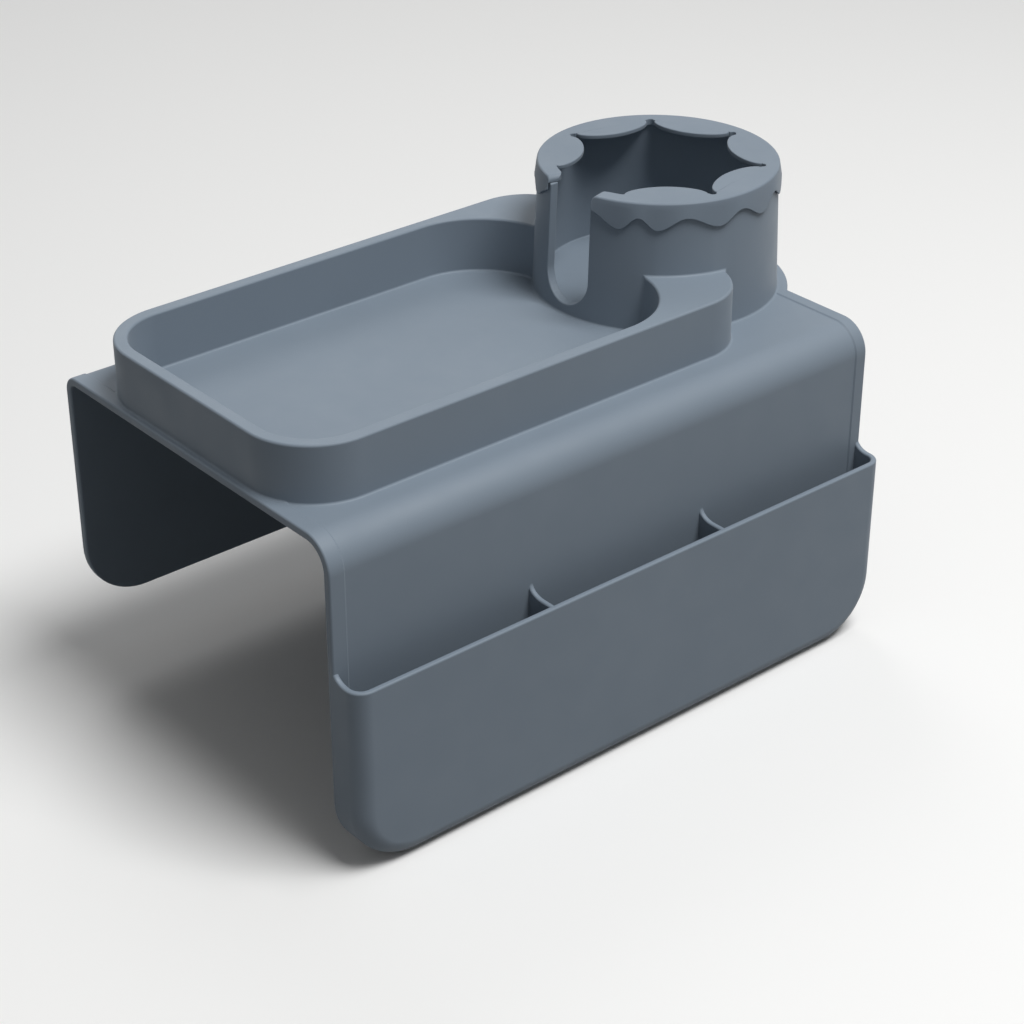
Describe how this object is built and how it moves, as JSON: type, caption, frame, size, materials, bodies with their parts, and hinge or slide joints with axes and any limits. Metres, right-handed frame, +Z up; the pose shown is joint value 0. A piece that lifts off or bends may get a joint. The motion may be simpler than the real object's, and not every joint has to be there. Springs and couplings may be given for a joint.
{
  "type": "sofa arm tray",
  "caption": "Moulded silicone saddle for a sofa's arm, with a walled tray, a slotted cup holder under a flexible grip cap, and a hanging pocket with compartments.",
  "frame": {"origin": "centre of the deck's underside, where it lies on the sofa's arm", "axes": "+X along the arm towards the cup holder, -Y towards the side with the pocket, +Z up"},
  "size_m": [0.3345, 0.2134, 0.2185],
  "materials": {
    "saddle_silicone": "matte moulded silicone",
    "cap_silicone": "matte moulded silicone"
  },
  "bodies": {
    "saddle": {"deck": "saddle_silicone", "front_bend": "saddle_silicone", "rear_bend": "saddle_silicone", "tray_wall": "saddle_silicone", "cup_sleeve": "saddle_silicone", "cup_floor": "saddle_silicone"},
    "pocket_panel": {"front_panel": "saddle_silicone", "pocket_shell": "saddle_silicone", "pocket_divider_left": "saddle_silicone", "pocket_divider_right": "saddle_silicone"},
    "rear_panel": {"rear_flap": "saddle_silicone"},
    "grip_cap": {"grip_collar": "cap_silicone"},
    "petal_1": {"grip_petal_1": "cap_silicone"},
    "petal_2": {"grip_petal_2": "cap_silicone"},
    "petal_3": {"grip_petal_3": "cap_silicone"},
    "petal_4": {"grip_petal_4": "cap_silicone"},
    "petal_5": {"grip_petal_5": "cap_silicone"},
    "petal_6": {"grip_petal_6": "cap_silicone"}
  },
  "joints": [
    {"name": "front_fold", "type": "hinge", "parent": "saddle", "child": "pocket_panel", "pos_m": [0, -0.09396, -0.00079], "axis": [-1, 0, 0], "range_deg": [0, 90], "deforming": ["front_bend"]},
    {"name": "rear_fold", "type": "hinge", "parent": "saddle", "child": "rear_panel", "pos_m": [0, 0.09546, 0.00071], "axis": [1, 0, 0], "range_deg": [0, 90], "deforming": ["rear_bend"]},
    {"name": "cap_lift", "type": "slide", "parent": "saddle", "child": "grip_cap", "axis": [0, 0, 1], "range_m": [0, 0.04]},
    {"name": "petal_1_flex", "type": "hinge", "parent": "grip_cap", "child": "petal_1", "pos_m": [0.08715, -0.03168, 0.0654], "axis": [-0.7818, 0.6235, 0], "range_deg": [-30, 45], "stiffness_Nm_per_rad": 0.02},
    {"name": "petal_2_flex", "type": "hinge", "parent": "grip_cap", "child": "petal_2", "pos_m": [0.12494, -0.0403, 0.0654], "axis": [-0.9749, -0.2225, 0], "range_deg": [-30, 45], "stiffness_Nm_per_rad": 0.02},
    {"name": "petal_3_flex", "type": "hinge", "parent": "grip_cap", "child": "petal_3", "pos_m": [0.15525, -0.01613, 0.0654], "axis": [-0.4339, -0.901, 0], "range_deg": [-30, 45], "stiffness_Nm_per_rad": 0.02},
    {"name": "petal_4_flex", "type": "hinge", "parent": "grip_cap", "child": "petal_4", "pos_m": [0.15525, 0.02263, 0.0654], "axis": [0.4339, -0.901, 0], "range_deg": [-30, 45], "stiffness_Nm_per_rad": 0.02},
    {"name": "petal_5_flex", "type": "hinge", "parent": "grip_cap", "child": "petal_5", "pos_m": [0.12494, 0.0468, 0.0654], "axis": [0.9749, -0.2225, 0], "range_deg": [-30, 45], "stiffness_Nm_per_rad": 0.02},
    {"name": "petal_6_flex", "type": "hinge", "parent": "grip_cap", "child": "petal_6", "pos_m": [0.08715, 0.03818, 0.0654], "axis": [0.7818, 0.6235, 0], "range_deg": [-30, 45], "stiffness_Nm_per_rad": 0.02}
  ]
}
